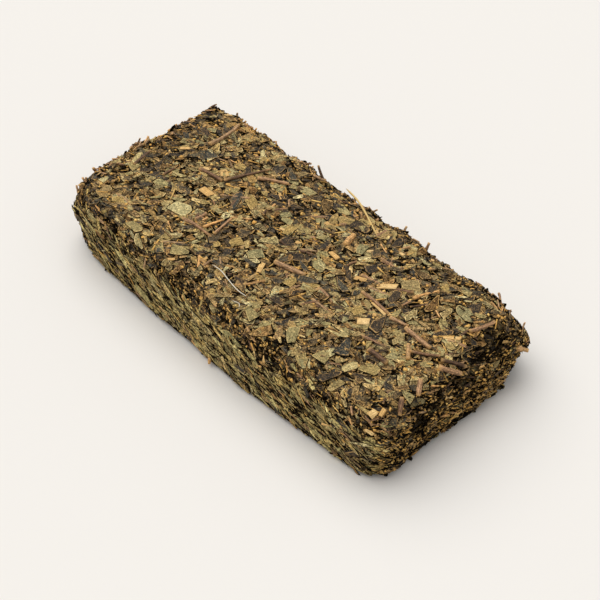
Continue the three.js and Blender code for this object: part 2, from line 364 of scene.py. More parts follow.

# %% [markdown]
# The slab isn't smooth: it swells and sinks by under a millimetre, and tea has crumbled out of the
# worn end and along the top edge, where clods are left. One function says how far the surface stands
# out at a point, and both the core and the scraps follow it. The same values say where pieces have
# fallen off and where shade is painted into the colour, so that dents look like dents.

# %% The relief of the slab
SWELL_HEIGHT, SWELL_SIZE = 0.7, 17.0
EDGE_WEAR = 1.9
DENTS = (  # place, radius and depth; a bump has a depth below 0
    ((99, -21, 17), 6, 4.6),
    ((93, 16, 27), 8, 2.4),
    ((93, 27, 25), 9, 2.8),
    ((99, 8, 17), 8, 1.5),
    ((95, 43, 0), 9, 5.5),
    ((98, 33, 0), 9, 2.5),
    ((103, -14, 0), 20, 1.8),
    ((94, 43, 17), 6, -1.8),
    ((85, 46, 24), 8, 1.1),
    ((38, -47, 27), 9, 1.6),
    ((-62, -47, 27), 8, 1.5),
    ((-92, 8, 29), 8, 1.6),
    ((-97, 0, 29), 6, -0.9),
    ((-93, 39, 29), 6, -1.2),
    ((-94, 27, 28), 12, 1.2),
    ((-73, 45, 27), 10, 1.3),
    ((12, 45, 27), 9, 2.0),
    ((-4, 46, 27), 7, 1.0),
    ((-16, 46, 28), 12, 1.3),
    ((-91, -38, 27), 8, 1.2),
    ((-89, -47, 21), 6, -1.2),
    ((-86, -47, 5), 10, 2.4),
    ((-99, -36, 8), 10, 1.6),
    ((-93, -45, 21), 6, -1.4),
    ((-99, -13, 29), 7, 1.5),
    ((-97, 13, 29), 7, 1.4),
    ((55, 46, 27), 9, 1.2),
    ((42, 46, 27), 9, 1.7),
    ((-45, 46, 27), 9, 1.0),
    ((28, -50, 2), 22, -0.9),
)
HOLLOWS = [row for row in DENTS if row[2] > 0]
END_TRIM = 0.6
NEAR_WEAR, NEAR_START = 0.5, 88
RAGGED = 2.0
FAR_RIM, BACK_RIM, RIM_WIDTH = -99, 47, 12
TOP_UP, EDGE_UP = 0.85, 0.6  # how far a normal points up on the top, and halfway round its edge


def lumps(points, size, layer):
    """A smooth noise from -1 to 1 whose lumps are about size across. Each layer is another one."""
    return np.array([noise.noise(Vector(p / size) + Vector((layer, 0, -layer))) for p in points])


def dented(points, dents):
    """How far the dents sink the surface at each point."""
    return sum(
        depth * np.exp(-2 * ((points - centre) ** 2).sum(1) / radius**2)
        for centre, radius, depth in dents
    )


def rim_share(points):
    """How near a point is to the far end or the back edge, from 0 to 1."""
    inset = np.minimum(points[:, 0] - FAR_RIM, (BACK_RIM - points[:, 1]) * 1.3)
    return np.clip(1 - inset / RIM_WIDTH, 0, 1)


def wear(points, normals):
    """How much tea has crumbled away at a point, from 0 to 1."""
    up = normals[:, 2]
    back, end = np.clip(normals[:, 1], 0, 1), np.abs(normals[:, 0])
    on_edge = np.clip(1.15 - np.abs(up - EDGE_UP) / 0.36, 0, 1)
    worn = on_edge * (0.62 - 0.15 * back + 0.3 * end + 0.95 * lumps(points, 7, 3))
    rim = rim_share(points) * (up > TOP_UP)
    worn = np.maximum(worn, rim * (0.85 + 1.1 * lumps(points, 8, 9)))
    near = np.clip((points[:, 0] - NEAR_START) / 8, 0, 1) * np.clip(1.6 * (0.98 - up), 0, 1)
    worn = np.maximum(worn, near * (NEAR_WEAR + 0.9 * lumps(points, 6, 5)))
    worn += 0.35 * dented(points, DENTS)
    return np.clip(worn, 0, 1) * (up > -0.5)


def ragged(points, normals):
    """How far the clods on the ends and the broken edges stand out."""
    broken = np.clip((0.96 - normals[:, 2]) / 0.3, 0, 1) * (1 - 0.85 * np.clip(-normals[:, 1], 0, 1))
    return RAGGED * broken * (0.4 * lumps(points, 2.2, 11) + 0.7 * lumps(points, 6.5, 13))


def hollow_shade(points, normals):
    """How much shade is painted in a dent or between clods, from 0 to 1."""
    between = np.clip(-0.9 * ragged(points, normals) - 0.1, 0, 0.7)
    return np.clip((dented(points, HOLLOWS) - 0.9) / 2.2, 0, 1) + between


def relief(points, normals):
    """How far the surface stands out from the plain form. The foot never does, so it lies flat."""
    out = SWELL_HEIGHT * lumps(points, SWELL_SIZE, 1)
    out -= EDGE_WEAR * wear(points, normals) * (0.7 + 0.6 * lumps(points, 3, 7))
    out -= END_TRIM * normals[:, 0] ** 2
    out += ragged(points, normals)
    out -= dented(points, DENTS)
    return np.where(normals[:, 2] < -0.5, np.minimum(out, 0), out)


# %% [markdown]
# The core only shows through gaps, as a darkness with grains in it. It is the cut cube again, sunk
# under the scraps and roughened, in a nearly black brown: the colour of tea dust, and painted shade
# in the gaps.

# %% The dark core
CORE_DEPTH, CORE_LEAST, CORE_FOOT = 1.1, 0.2, 0.4  # millimetres under the relief
CORE_ROUGHNESS = 0.55


def dust_and_shade_finish():
    # The near-black of tea dust, also used as painted shade in gaps, slits and splits.
    finish = Finish("tea_dust_and_shade")
    grains = finish.cells(0.0011)
    patches = finish.noise(0.006, 4.0)
    dark = finish.ramp(patches, ((0.3, srgb(18, 13, 7)), (0.7, srgb(50, 37, 20))))
    colour = finish.mix(grains * 0.9, dark, srgb(8, 6, 3))
    return finish.surface(colour, 0.85 + patches * 0.1, grains, 0.0006, 0.05)


tea_dust_and_shade = dust_and_shade_finish()


def press_core():
    depth = CORE_DEPTH + CORE_ROUGHNESS * draw.normal(size=len(skin))
    depth = np.where(skin_normals[:, 2] < -0.5, CORE_FOOT, depth)
    out = relief(skin, skin_normals) - np.maximum(depth, CORE_LEAST)
    moved = (skin + skin_normals * out[:, None]) * MM
    for vert, point in zip(slab.verts, moved):
        vert.co = point
    mesh = bpy.data.meshes.new("tea_core")
    bmesh.ops.recalc_face_normals(slab, faces=slab.faces)
    slab.to_mesh(mesh)
    mesh.materials.append(tea_dust_and_shade)
    core = bpy.data.objects.new("tea_core", mesh)
    bpy.context.scene.collection.objects.link(core)
    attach(core, "root")
    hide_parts("tea_brick")
    return core


core = press_core()
slab.free()
print("core faces:", len(core.data.polygons))

# %% [markdown]
# Scraps are scattered evenly by area: a face of the slab is picked by its share of the area, then a
# spot in it. Each spot gets an upright frame: out of the surface, along the brick, and across.

# %% Spots on the surface
REGIONS = ("top", "edge", "side", "end", "foot")
TOP, EDGE, SIDE, END, FOOT = range(5)


def region_of(normals):
    """The number of each normal's region: top, worn edge, long side, end or foot."""
    up, end = normals[:, 2], np.abs(normals[:, 0]) > np.abs(normals[:, 1])
    return np.select([up > 0.9, up < -0.5, up > 0.35, end], [TOP, FOOT, EDGE, END], SIDE)


def pick_spots(per_area):
    """Random spots and normals, with so many of them to a square centimetre of each region."""
    density = np.array([per_area[name] for name in REGIONS])[region_of(face_normal)]
    chance = face_area * density / 100  # the area is in square millimetres
    count = round(chance.sum())
    face = skin_faces[draw.choice(len(chance), count, p=chance / chance.sum())]
    u, v = draw.random((2, count, 1))
    weights = ((1 - u) * (1 - v), u * (1 - v), u * v, (1 - u) * v)
    spots = sum(w * skin[face[:, k]] for k, w in enumerate(weights))
    normals = sum(w * skin_normals[face[:, k]] for k, w in enumerate(weights))
    return spots, normals / np.linalg.norm(normals, axis=1, keepdims=True)


def unit(vectors):
    return vectors / np.maximum(np.linalg.norm(vectors, axis=1, keepdims=True), 1e-9)


def frames_at(normals, heading, tilt):
    """For each normal, rows along, across and out, turned to a heading and tipped at random."""
    level = np.cross([0, 0, 1], normals) + np.array([0.02, 0, 0])
    on_flat = (np.abs(normals[:, 2]) > 0.9)[:, None]
    level = np.where(on_flat, [1.0, 0, 0], level)
    out = unit(normals + draw.normal(size=normals.shape) * np.tan(tilt)[:, None])
    across = unit(np.cross(out, level))
    along = np.cross(across, out)
    cos, sin = np.cos(heading)[:, None], np.sin(heading)[:, None]
    return np.stack([along * cos + across * sin, across * cos - along * sin, out], 1)


# %% [markdown]
# A scrap is what chopping leaves of a leaf: part of its margin and a few straight cuts. So a mould
# starts as a disc and is cut by planes at random. It lies with its flat face down and rises from
# its rim over a short slope to a creased top. A few moulds of each kind are enough, once each copy
# is stretched, bowed and turned in its own way.

# %% Chop the leaf scraps
CUT_PLACES = (0.2, 0.72)  # from the middle of a disc to its margin at 1
SHORTEST_SIDE = 0.12
UNEVEN = 0.08
TORN_RINGS = ((0.84, 1.0), (0.86, 0.7))
CLEAN_RINGS = ((0.91, 1.0), (0.92, 0.7))


class Mould:
    """A small closed shape as arrays, of about unit length, with a mask that says where a point
    is: 0 in the middle, 1 on its rim and 2 on the shadow line painted around it."""

    def __init__(self, shape):
        bmesh.ops.recalc_face_normals(shape, faces=shape.faces)
        bmesh.ops.triangulate(shape, faces=shape.faces)
        shape.verts.index_update()
        self.points = np.array([v.co for v in shape.verts])
        self.faces = np.array([[v.index for v in f.verts] for f in shape.faces])
        rim = shape.verts.layers.float.get("rim")
        self.rim = np.array([v[rim] if rim else 0.0 for v in shape.verts])
        shape.free()


def chopped_disc(sides, cuts):
    """A flat scrap, 1 long and 1 wide, with its rim marked."""
    shape = bmesh.new()
    rim = shape.verts.layers.float.new("rim")
    bmesh.ops.create_circle(shape, cap_ends=True, segments=sides, radius=1)
    for _ in range(cuts):
        side = Matrix.Rotation(draw.uniform(0, 2 * math.pi), 3, "Z") @ Vector((1, 0, 0))
        bmesh.ops.bisect_plane(
            shape,
            geom=shape.verts[:] + shape.edges[:] + shape.faces[:],
            plane_co=side * draw.uniform(*CUT_PLACES),
            plane_no=side,
            clear_outer=True,
        )
    bmesh.ops.remove_doubles(shape, verts=shape.verts, dist=SHORTEST_SIDE)
    places = np.array([v.co for v in shape.verts])
    low, high = places.min(0), places.max(0)
    for vert in shape.verts:
        for axis in (0, 1):
            vert.co[axis] = (vert.co[axis] - low[axis]) / (high[axis] - low[axis]) - 0.5
            vert.co[axis] += draw.uniform(-UNEVEN, UNEVEN)
        vert[rim] = 1
    return shape


def scrap_mould(sides, cuts, rings=()):
    """A scrap 1 thick. Each ring is drawn in to a share of the one outside it, and has a mask."""
    shape = chopped_disc(sides, cuts)
    rim = shape.verts.layers.float.active
    copied = bmesh.ops.duplicate(shape, geom=shape.faces[:])["geom"]
    top = [item for item in copied if isinstance(item, bmesh.types.BMFace)]
    bottom = [f for f in shape.faces if f not in top]
    bmesh.ops.reverse_faces(shape, faces=bottom)
    # The outer rim is marked 2, where the leaf finish paints a shadow line.
    if rings:
        for vert in shape.verts:
            vert[rim] = 2
    for share, mask in rings:
        bmesh.ops.inset_individual(shape, faces=top, thickness=0)
        for vert in top[0].verts:
            vert.co *= share
            vert.co.z = draw.uniform(0.6, 1.1)
            vert[rim] = mask
    middle = bmesh.ops.poke(shape, faces=top)["verts"][0]
    middle.co = Vector((*draw.uniform(-0.12, 0.12, 2), draw.uniform(0.6, 1.5)))
    middle[rim] = 0
    under = bmesh.ops.poke(shape, faces=bottom)["verts"][0]
    under.co = Vector((middle.co.x, middle.co.y, -1))
    bmesh.ops.remove_doubles(shape, verts=shape.verts, dist=1e-4)
    return Mould(shape)


broad_moulds = [scrap_mould(14, cuts, CLEAN_RINGS) for cuts in (1, 2, 2, 3, 3)]
scrap_moulds = [
    scrap_mould(sides, cuts, TORN_RINGS) for sides in (9, 11, 13) for cuts in (1, 2, 3, 4)
]
thin_moulds = [scrap_mould(sides, cuts) for sides in (6, 7, 8) for cuts in (2, 3, 4)]
print("scrap faces:", [len(m.faces) for m in broad_moulds + scrap_moulds + thin_moulds])

# %% [markdown]
# Copies are made with arrays, which takes a second where thousands of objects would take minutes.
# Each copy is scaled, bowed along its length, turned into its frame and moved to its spot, and what
# stands out past the worn edges is bent down to them. The mesh also keeps what the materials need: a
# tint for each copy, how much shade to paint on it, its rim, and its own flat coordinates.

# %% Join many copies into one piece
TALLY = {}
LOOSE = (0.15, 2.2)  # millimetres that every piece may stand out from the skin, and the loosest
FLAT_TOP = (84, 34, 20)  # half a length, half a width and a height: inside it all lies flat already
FLOOR_GAP, CEILING = 0.02, 34.1  # millimetres, between which every piece is kept


def write_mesh(name, points, faces, flat, **values):
    mesh = bpy.data.meshes.new(name)
    mesh.vertices.add(len(points))
    mesh.vertices.foreach_set("co", (points * MM).astype(np.float32).ravel())
    mesh.loops.add(faces.size)
    mesh.loops.foreach_set("vertex_index", faces.astype(np.int32).ravel())
    mesh.polygons.add(len(faces))
    mesh.polygons.foreach_set("loop_start", np.arange(0, faces.size, 3, dtype=np.int32))
    mesh.update(calc_edges=True)
    for key, value in values.items():
        attribute = mesh.attributes.new(key, "FLOAT", "POINT")
        attribute.data.foreach_set("value", value.astype(np.float32))
    layer = mesh.uv_layers.new(name="flat")
    layer.data.foreach_set("uv", flat[faces.ravel()].astype(np.float32).ravel())
    mesh.validate()
    return mesh


def press_down(points, loose):
    """Bends what stands out too far from the skin down to it, as the press did."""
    across = np.abs(points[..., :2]) < FLAT_TOP[:2]
    flat = across.all(2) & (points[..., 2] > FLAT_TOP[2])
    bent = points.copy()
    for copy, corner in np.argwhere(~flat):
        spot, index, _ = skin_tree.find(points[copy, corner])
        rise = (points[copy, corner] - skin[index]) @ skin_normals[index]
        excess = rise - skin_relief[index] - loose[copy]
        if excess > 0:
            bent[copy, corner] -= skin_normals[index] * excess
    return bent


skin_relief = relief(skin, skin_normals)
skin_tree = kdtree.KDTree(len(skin))
for number, point in enumerate(skin):
    skin_tree.insert(point, number)
skin_tree.balance()


def join_copies(
    name, moulds, spots, frames, sizes, bends, painted_shade, material, tints=None, pressed=True
):
    which = draw.integers(len(moulds), size=len(spots))
    looseness = LOOSE[0] + (LOOSE[1] - LOOSE[0]) * draw.random(len(spots)) ** 3
    tints = draw.random(len(spots)) if tints is None else tints
    points, faces, flat, rim, tint, shading = [], [], [], [], [], []
    start = 0
    for number, mould in enumerate(moulds):
        mine = np.flatnonzero(which == number)
        local = mould.points[None] * sizes[mine][:, None]
        bend, twist, bow = bends[mine].T[:, :, None]
        local[..., 2] += bend * local[..., 0] ** 2 + twist * local[..., 0] * local[..., 1]
        local[..., 1] += bow * local[..., 0] ** 2
        placed = np.einsum("nvk,nkd->nvd", local, frames[mine]) + spots[mine][:, None]
        if pressed:
            placed = press_down(placed, looseness[mine])
        placed[..., 2] += np.maximum(0, FLOOR_GAP - placed[..., 2].min(1))[:, None]
        placed[..., 2] -= np.maximum(0, placed[..., 2].max(1) - CEILING)[:, None]
        count, size = len(mine), len(mould.points)
        offset = start + size * np.arange(count)[:, None, None]
        points.append(placed.reshape(-1, 3))
        faces.append((mould.faces[None] + offset).reshape(-1, 3))
        flat.append(local[..., :2].reshape(-1, 2))
        rim.append(np.tile(mould.rim, count))
        tint.append(np.repeat(tints[mine], size))
        shading.append(np.repeat(painted_shade[mine], size))
        start += size * count
    shape = [np.concatenate(part) for part in (points, faces, flat)]
    values = {"rim": rim, "tint": tint, "painted_shade": shading}
    values = {key: np.concatenate(part) for key, part in values.items()}
    piece = bpy.data.objects.new(name, write_mesh(name, *shape, **values))
    piece.data.materials.append(material)
    bpy.context.scene.collection.objects.link(piece)
    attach(piece, "root")
    TALLY[name] = len(piece.data.polygons)
    print(name, "copies:", len(spots), "triangles:", TALLY[name])
    return piece


# %% [markdown]
# How the scraps lie depends on the region. On the top they lie flat, and most of them follow a flow
# that drifts from place to place. On the long sides they are drawn out along the brick and slope down
# a little. On the ends and the worn edges they are smaller and stand up more. These rules are the
# same for every kind of scrap.

# %% How scraps lie
TILT = np.radians([5.0, 26.0, 4.0, 30.0, 2.0])
BROAD = 3.5  # millimetres, over which a scrap lies the flatter the longer it is
FLOW, FLOW_DRIFT, FLOW_SPREAD = 0.4, 0.8, 0.75  # radians: how pieces on the top are turned
SHRINK = np.array([1.0, 0.8, 1.0, 0.75, 1.0])
STRETCH = np.array([1.0, 1.0, 1.4, 1.15, 1.0])
SIDE_SLOPE, SIDE_SPREAD = math.radians(-17), math.radians(20)
ROUND = 0.85  # the thickness of a round piece to its width
DEEPEST = 1.1  # millimetres under the skin, where the painted shade is full
DARK_BACK, BACK_FADE = 20, 16  # where the dark margin along the back starts, and how soon it is full
DARK_FAR, FAR_FADE = -76, 12
STANDING = ("crumbs", "splinters", "bits")  # kinds that the press left standing out


def lie(spots, normals, length, width, thickness, sink, steep=0.0):
    """Frames, sizes and seated spots for scraps at these spots."""
    region = region_of(normals)
    count = len(spots)
    loose = FLOW + FLOW_DRIFT * lumps(spots, 25, 31) + FLOW_SPREAD * draw.normal(size=count)
    sloped = SIDE_SLOPE + SIDE_SPREAD * draw.normal(size=count)
    flip = np.pi * draw.integers(2, size=count)
    heading = np.where((region == TOP) | (region == FOOT), loose, sloped) + flip
    tilt = TILT[region] * draw.uniform(0.3, 1.3, count) * np.minimum(1, BROAD / length) + steep
    frames = frames_at(normals, heading, tilt)
    shrink = SHRINK[region]
    stretch = STRETCH[region]
    sizes = np.stack([length * shrink * stretch, width * shrink / stretch, thickness], 1)
    out = relief(spots, normals) - sink
    return frames, sizes, spots + normals * out[:, None]


def scatter(name, moulds, per_area, material, depth, cut, patchy=0):
    """Lays one kind of piece over the whole brick. The cut gives its range of length, width to
    length, thickness (none if it is round), and how much it bows. It may also say how readily it
    crumbles off, how much shade is painted on it in a worn place, how steeply it stands, and how
    closely it keeps to the rim. Patchy pieces gather in dark patches of the brick if it is over 0,
    and in pale ones if it is under."""
    spots, normals = pick_spots(per_area)
    worn = wear(spots, normals)
    back = np.clip((spots[:, 1] - DARK_BACK) / BACK_FADE, 0, 1)
    far = np.clip((DARK_FAR - spots[:, 0]) / FAR_FADE, 0, 1)
    patch = 0.5 + 0.9 * lumps(spots, 13, 21) + 0.35 * (back + far)
    sparse = patch if patchy < 0 else 1 - patch
    kept = draw.random(len(spots)) > worn * cut.get("fragile", 0)
    kept &= draw.random(len(spots)) > abs(patchy) * sparse
    kept &= draw.random(len(spots)) < np.maximum(rim_share(spots), 1 - cut.get("rim", 0))
    spots, normals, worn = spots[kept], normals[kept], worn[kept]
    count = len(spots)
    low, high = cut["length"]
    long = low + (high - low) * draw.beta(1.5, 3.2, count)
    wide = long * draw.uniform(*cut["slimness"], count)
    thick = np.full(count, cut["thickness"]) if cut["thickness"] else wide * ROUND
    sink = draw.uniform(*depth, count)
    frames, sizes, seats = lie(spots, normals, long, wide, thick, sink, cut.get("steep", 0))
    bends = draw.normal(size=(count, 3)) * cut["bend"]
    # How much shade is painted on each piece: the more the deeper it lies, in worn places and
    # hollows.
    painted_shade = np.clip(sink / DEEPEST + worn * cut.get("shaded", 0) + hollow_shade(spots, normals), 0, 1)
    pressed = name.split("_")[-1] not in STANDING
    return join_copies(
        name, moulds, seats, frames, sizes, bends, painted_shade, material, pressed=pressed
    )


# %% [markdown]
# Dried leaf is dull and mottled. Its colour differs from scrap to scrap, warmer in one and cooler in
# the next, it is bruised dark in patches and pitted, its torn rim is golden, partly as a painted
# highlight, and fine veins run off a midrib. A shadow line is painted around each scrap, shade in
# its cracks, and shade over those that lie deep. Noise in the object's own coordinates makes the
# mottling, and the scrap's flat coordinates carry the veins.

# %% The finish of leaf
VEIN_GAP = 1.1  # millimetres between side veins
CASTS = ((0.1, (0.94, 1.0, 1.05)), (0.3, (1.0, 1.0, 0.98)), (0.5, (1.13, 0.98, 0.82)))  # cool to warm


def leaf_finish(name, tones, rim_colour, bruise, roughness, vein=0.5, gloss=0.06, cracked=1.0):
    finish = Finish(name)
    tint = finish.attribute("tint")
    rim = finish.attribute("rim")
    tone = finish.ramp(tint, tones)
    flat = finish.add("ShaderNodeUVMap", {"uv_map": "flat"}, {})
    along = finish.add("ShaderNodeSeparateXYZ", {}, {"Vector": flat}, "X")
    across = Signal(finish, along.socket.node.outputs["Y"])
    slanted = (along + abs(across) * 0.9) * (2 * math.pi / VEIN_GAP) + tint * 40
    side_vein = finish.ramp(finish.math("SINE", slanted), ((0.86, 0.0), (1.0, 1.0)))
    midrib = finish.ramp(abs(across), ((0.0, 1.0), (0.16, 0.0)))
    veins = finish.math("MAXIMUM", side_vein, midrib)
    fibrous = finish.add("ShaderNodeCombineXYZ", {}, {0: along * 0.4, 1: across, 2: tint * 50})
    fibre = finish.noise(0.75, 3.0, fibrous, 0.75)
    patches = finish.noise(0.0026, 4.0, roughness=0.62)
    grain = finish.noise(0.0005, 2.0, roughness=0.75)
    bruised = finish.ramp(patches, ((0.38, 1.0), (0.52, 0.0)))
    crease = abs(finish.noise(0.0017, 3.0, roughness=0.6) - 0.5)
    crack = finish.ramp(crease, ((0.022, 1.0), (0.05, 0.0)))
    rust = finish.ramp(finish.noise(0.0013, 3.0, roughness=0.6), ((0.52, 0.0), (0.68, 1.0)))
    fleck = finish.ramp(grain, ((0.585, 0.0), (0.66, 1.0)))
    shade = finish.ramp(fibre * 0.5 + grain * 0.5, ((0.38, 0.18), (0.5, 0.5), (0.62, 0.9))) * 2.2
    hue = finish.noise(0.002, 3.0) * 0.4 + finish.math("FRACT", tint * 7.3) * 0.6 - 0.2
    cast = finish.ramp(hue, CASTS)
    pit = finish.ramp(grain, ((0.31, 1.0), (0.38, 0.0)))
    colour = finish.mix(rust * 0.16, tone, rim_colour)
    colour = finish.mix(bruised * 0.5, colour, bruise)
    colour = finish.mix(1.0, colour, finish.grey(shade), "MULTIPLY")
    colour = finish.mix(1.0, colour, cast, "MULTIPLY")
    colour = finish.mix(veins * (0.3 * vein), colour, rim_colour)
    # Cracks along the creases are drawn near-black as painted shade in them; pits are dark specks.
    colour = finish.mix(finish.math("MAXIMUM", crack * (0.6 * cracked), pit * 0.85), colour, DUST_AND_SHADE)
    # A golden rim, partly a painted highlight, along part of each torn edge where the patches allow.
    golden = finish.ramp(rim * 0.5, ((0.38, 0.0), (0.43, 1.0), (0.56, 1.0), (0.62, 0.0)))
    golden = golden * finish.ramp(patches, ((0.44, 0.0), (0.54, 1.0)))
    colour = finish.mix(finish.math("MAXIMUM", golden * 0.9, fleck * 0.6), colour, rim_colour)
    # A painted shadow line in tea dust's black brown on the outer ring around each scrap.
    shadow_line = finish.ramp(rim * 0.5, ((0.6, 0.0), (0.68, 1.0)))
    colour = finish.mix(shadow_line, colour, DUST_AND_SHADE)
    # Shade painted over scraps that lie deep, in hollows and in worn places.
    colour = finish.paint_shade(colour)
    height = patches * 0.6 + fibre * 0.5 + veins * (0.4 * vein) - crack * 0.3
    return finish.surface(colour, roughness + grain * 0.2, height, 0.0004, gloss)


olive = leaf_finish(
    "olive_leaf",
    (
        (0.0, srgb(116, 97, 66)),
        (0.25, srgb(154, 136, 93)),
        (0.55, srgb(188, 167, 112)),
        (0.8, srgb(162, 150, 110)),
        (1.0, srgb(246, 222, 160)),
    ),
    srgb(255, 226, 162),
    srgb(74, 66, 46),
    0.6,
)
brown = leaf_finish(
    "brown_leaf",
    (
        (0.0, srgb(94, 75, 50)),
        (0.35, srgb(134, 107, 74)),
        (0.75, srgb(190, 156, 104)),
        (1.0, srgb(122, 104, 80)),
    ),
    srgb(244, 198, 126),
    srgb(50, 40, 30),
    0.62,
)
dark = leaf_finish(
    "dark_leaf",
    (
        (0.0, srgb(27, 32, 35)),
        (0.3, srgb(58, 46, 33)),
        (0.6, srgb(54, 61, 58)),
        (1.0, srgb(110, 97, 68)),
    ),
    srgb(200, 160, 100),
    srgb(24, 24, 22),
    0.46,
    0.3,
    0.22,
)
broad = leaf_finish(
    "broad_leaf",
    (
        (0.0, srgb(164, 134, 90)),
        (0.4, srgb(172, 154, 102)),
        (0.7, srgb(164, 151, 106)),
        (1.0, srgb(214, 197, 142)),
    ),
    srgb(240, 206, 138),
    srgb(110, 104, 72),
    0.62,
    0.8,
    cracked=0.35,
)
side_leaf = leaf_finish(
    "side_leaf",
    (
        (0.0, srgb(96, 88, 62)),
        (0.35, srgb(208, 186, 120)),
        (0.7, srgb(176, 162, 108)),
        (1.0, srgb(250, 226, 150)),
    ),
    srgb(226, 192, 126),
    srgb(92, 84, 56),
    0.6,
    0.2,
    cracked=0.8,
)
print("leaf finishes:", olive.name, brown.name, dark.name, broad.name, side_leaf.name)

# %% [markdown]
# The leaf goes on in layers. Thin scraps fill the depth, and thicker ones with a soft edge lie on
# top, flush with each other as the press left them. Olive scraps gather in pale patches and dark
# ones in dark patches, and the long sides have flakes of their own.

# %% Lay the leaf
def spread(top, edge, side, end, foot=0.0):
    """Copies to a square centimetre of each region."""
    return dict(zip(REGIONS, (top, edge, side, end, foot)))


UNDER = {
    "length": (2.0, 8.0), "slimness": (0.16, 0.66), "thickness": 0.3, "bend": 0.02,
    "fragile": 0.6, "shaded": 0.5,
}
CLEAN = {
    "length": (4.0, 10.0), "slimness": (0.4, 0.75), "thickness": 0.3, "bend": 0.01, "fragile": 1.0,
}
FLAKE = {
    "length": (3.5, 11.0), "slimness": (0.28, 0.62), "thickness": 0.3, "bend": 0.01, "fragile": 1.0,
}
UPPER = {
    "length": (4.0, 13.5), "slimness": (0.18, 0.52), "thickness": 0.32, "bend": 0.014,
    "fragile": 0.95, "shaded": 0.4,
}
scatter("olive_under", thin_moulds, spread(13, 16, 10, 14, 10), olive, (0.1, 1.1), UNDER)
scatter("brown_under", thin_moulds, spread(9, 24, 8, 18, 8), brown, (0.1, 1.1), UNDER)
scatter("dark_under", thin_moulds, spread(18, 34, 10, 22, 8), dark, (0.1, 1.1), UNDER)
scatter("side_under", thin_moulds, spread(0, 4, 26, 2), side_leaf, (0.1, 0.7), UNDER)
scatter("olive_scraps", scrap_moulds, spread(7, 9, 7, 4, 5), olive, (-0.1, 0.4), UPPER, -0.8)
scatter("brown_scraps", scrap_moulds, spread(4.5, 7, 2, 8, 2), brown, (-0.1, 0.4), UPPER)
scatter("dark_scraps", scrap_moulds, spread(7.5, 16, 4, 7, 4), dark, (-0.1, 0.4), UPPER, 0.8)
scatter("side_flakes", broad_moulds, spread(0, 2, 16, 0.5), side_leaf, (-0.1, 0.3), FLAKE)
scatter("clean_scraps", broad_moulds, spread(1.8, 0.3, 0.5, 0.1), broad, (-0.15, 0.1), CLEAN)

# %% [markdown]
# Between the leaves lie stems, splinters of wood and crumbs. A stem is a rod that tapers and has
# knots, a splinter a four-sided needle, a crumb a broken cube, and a wood chip a cube with worn
# edges.

# %% Model stems, splinters, chips and crumbs
TAPER = (0.3, 0.48)  # the radius of a rod's thin end, where the thick one's is 0.5
CRUMBLED = 0.17


def rod_mould(sides, rings, knots):
    """A rod along X, 1 long and 1 thick, cut into rings of uneven size."""
    shape = bmesh.new()
    rim = shape.verts.layers.float.new("rim")
    taper = draw.uniform(*TAPER)
    bmesh.ops.create_cone(
        shape, cap_ends=True, segments=sides, radius1=0.5, radius2=taper, depth=1
    )
    for number in range(1, rings):
        height = number / rings - 0.5
        whole = shape.verts[:] + shape.edges[:] + shape.faces[:]
        bmesh.ops.bisect_plane(shape, geom=whole, plane_co=(0, 0, height), plane_no=(0, 0, 1))
    swell = {}
    for vert in shape.verts:
        key = round(vert.co.z, 3)
        swell.setdefault(key, 1 + draw.uniform(-knots, knots))
        vert.co.x *= swell[key] * draw.uniform(0.9, 1.1)
        vert.co.y *= swell[key]
        vert[rim] = 1 if abs(vert.co.z) > 0.49 else 0
    bmesh.ops.rotate(shape, verts=shape.verts, matrix=Matrix.Rotation(math.pi / 2, 3, "Y"))
    return Mould(shape)


def lump_mould(wear):
    """A broken cube, 1 each way. Wear bevels its edges."""
    shape = bmesh.new()
    rim = shape.verts.layers.float.new("rim")
    bmesh.ops.create_cube(shape, size=1)
    for vert in shape.verts:
        vert.co += Vector(draw.uniform(-CRUMBLED, CRUMBLED, 3))
    if wear:
        bmesh.ops.bevel(
            shape, geom=shape.edges[:], offset=wear, segments=1, profile=0.5,
            affect="EDGES", material=-1,
        )
    for vert in shape.verts:
        vert[rim] = abs(vert.co.x) * 2
    return Mould(shape)


stem_moulds = [rod_mould(7, rings, 0.16) for rings in (4, 5, 6, 7)]
splinter_moulds = [rod_mould(4, 1, 0.1) for _ in range(4)]
chip_moulds = [lump_mould(0.06) for _ in range(4)]
crumb_moulds = [lump_mould(0) for _ in range(6)]
print("rod faces:", [len(m.faces) for m in stem_moulds + splinter_moulds + chip_moulds])

# %% [markdown]
# Wood shows long fibres. Its noise is stretched along the piece through the flat coordinates, which
# turn with each copy.

# %% The finish of wood
FIBRE = 0.0005
ALONG_FIBRE = 0.12  # how little the noise changes along a piece


def wood_finish(name, tones, end_colour, roughness, gloss=0.1):
    finish = Finish(name)
    tint = finish.attribute("tint")
    rim = finish.attribute("rim")
    flat = finish.add("ShaderNodeUVMap", {"uv_map": "flat"}, {})
    scale = (ALONG_FIBRE * MM, MM, MM)
    stretched = finish.add("ShaderNodeMapping", {}, {"Vector": flat, "Scale": scale})
    streaks = finish.noise(FIBRE, 3.0, stretched, 0.65)
    grain = finish.noise(0.0006, 3.0, roughness=0.65)
    tone = finish.ramp(tint, tones)
    shade = finish.ramp(streaks * 0.65 + grain * 0.35, ((0.38, 0.12), (0.5, 0.45), (0.62, 1.0))) * 2.1
    colour = finish.mix(1.0, tone, finish.grey(shade), "MULTIPLY")
    # The cut ends are paler, and shade is painted over pieces that lie deep.
    colour = finish.paint_shade(finish.mix(rim * rim * 0.6, colour, end_colour))
    return finish.surface(colour, roughness + grain * 0.15, streaks + grain * 0.6, 0.0003, gloss)


